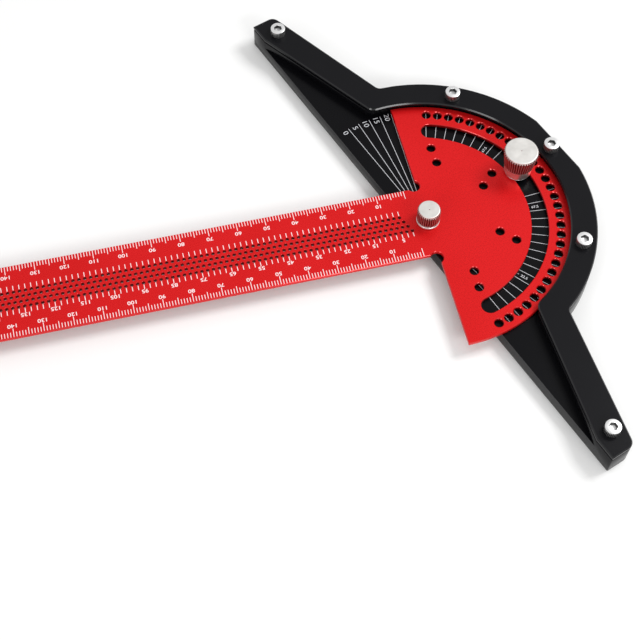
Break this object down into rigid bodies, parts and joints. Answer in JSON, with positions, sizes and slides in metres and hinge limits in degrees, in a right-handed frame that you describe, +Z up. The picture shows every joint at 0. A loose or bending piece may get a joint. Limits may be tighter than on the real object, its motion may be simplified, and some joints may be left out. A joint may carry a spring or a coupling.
{
  "type": "sliding bevel",
  "caption": "T-shaped ruler blade with a half-disc protractor head that turns in a straight-fenced handle and is locked by a knurled thumb screw in an arc slot.",
  "frame": {"origin": "on the pivot's axis, at the handle's flat underside", "axes": "+X from the fence to the handle's apex, +Y along the fence, +Z up through the thumb screws"},
  "size_m": [0.3058, 0.2114, 0.0187],
  "materials": {
    "black_anodised": "satin black anodised",
    "cover_black": "satin black anodised plate",
    "red_anodised": "satin red anodised, bright cut edges",
    "screw_steel": "bright",
    "knob_metal": "bright turned and knurled",
    "washer_metal": "bright",
    "bush_brass": "turned"
  },
  "bodies": {
    "handle": {"handle_body": "black_anodised", "cover_frame": "cover_black", "cover_screw_1": "screw_steel", "cover_screw_2": "screw_steel", "cover_screw_3": "screw_steel", "cover_screw_4": "screw_steel", "cover_screw_5": "screw_steel", "pivot_bush": "bush_brass"},
    "blade": {"ruler_blade": "red_anodised"},
    "pivot_washer": {"pivot_washer": "washer_metal"},
    "pivot_knob": {"pivot_knob": "knob_metal"},
    "lock_washer": {"lock_washer": "washer_metal"},
    "lock_knob": {"lock_knob": "knob_metal"}
  },
  "joints": [
    {"name": "blade_swing", "type": "hinge", "parent": "handle", "child": "blade", "pos_m": [0, 0, 0.00625], "axis": [0, 0, 1], "range_deg": [-53.5, 93.5]},
    {"name": "pivot_washer_lift", "type": "slide", "parent": "handle", "child": "pivot_washer", "axis": [0, 0, 1], "range_m": [0, 0.0014]},
    {"name": "pivot_knob_turn", "type": "hinge", "parent": "pivot_washer", "child": "pivot_knob", "pos_m": [0, 0, 0.011], "axis": [0, 0, 1], "range_deg": [0, 720]},
    {"name": "lock_washer_lift", "type": "slide", "parent": "handle", "child": "lock_washer", "axis": [0, 0, 1], "range_m": [0, 0.0016]},
    {"name": "lock_knob_turn", "type": "hinge", "parent": "lock_washer", "child": "lock_knob", "pos_m": [0.0391, 0, 0.0135], "axis": [0, 0, 1], "range_deg": [0, 720]}
  ],
  "couplings": [
    {"joint": "pivot_knob_turn", "follows": "pivot_washer_lift", "rad_per_m": 8975.9},
    {"joint": "lock_knob_turn", "follows": "lock_washer_lift", "rad_per_m": 7853.9}
  ]
}
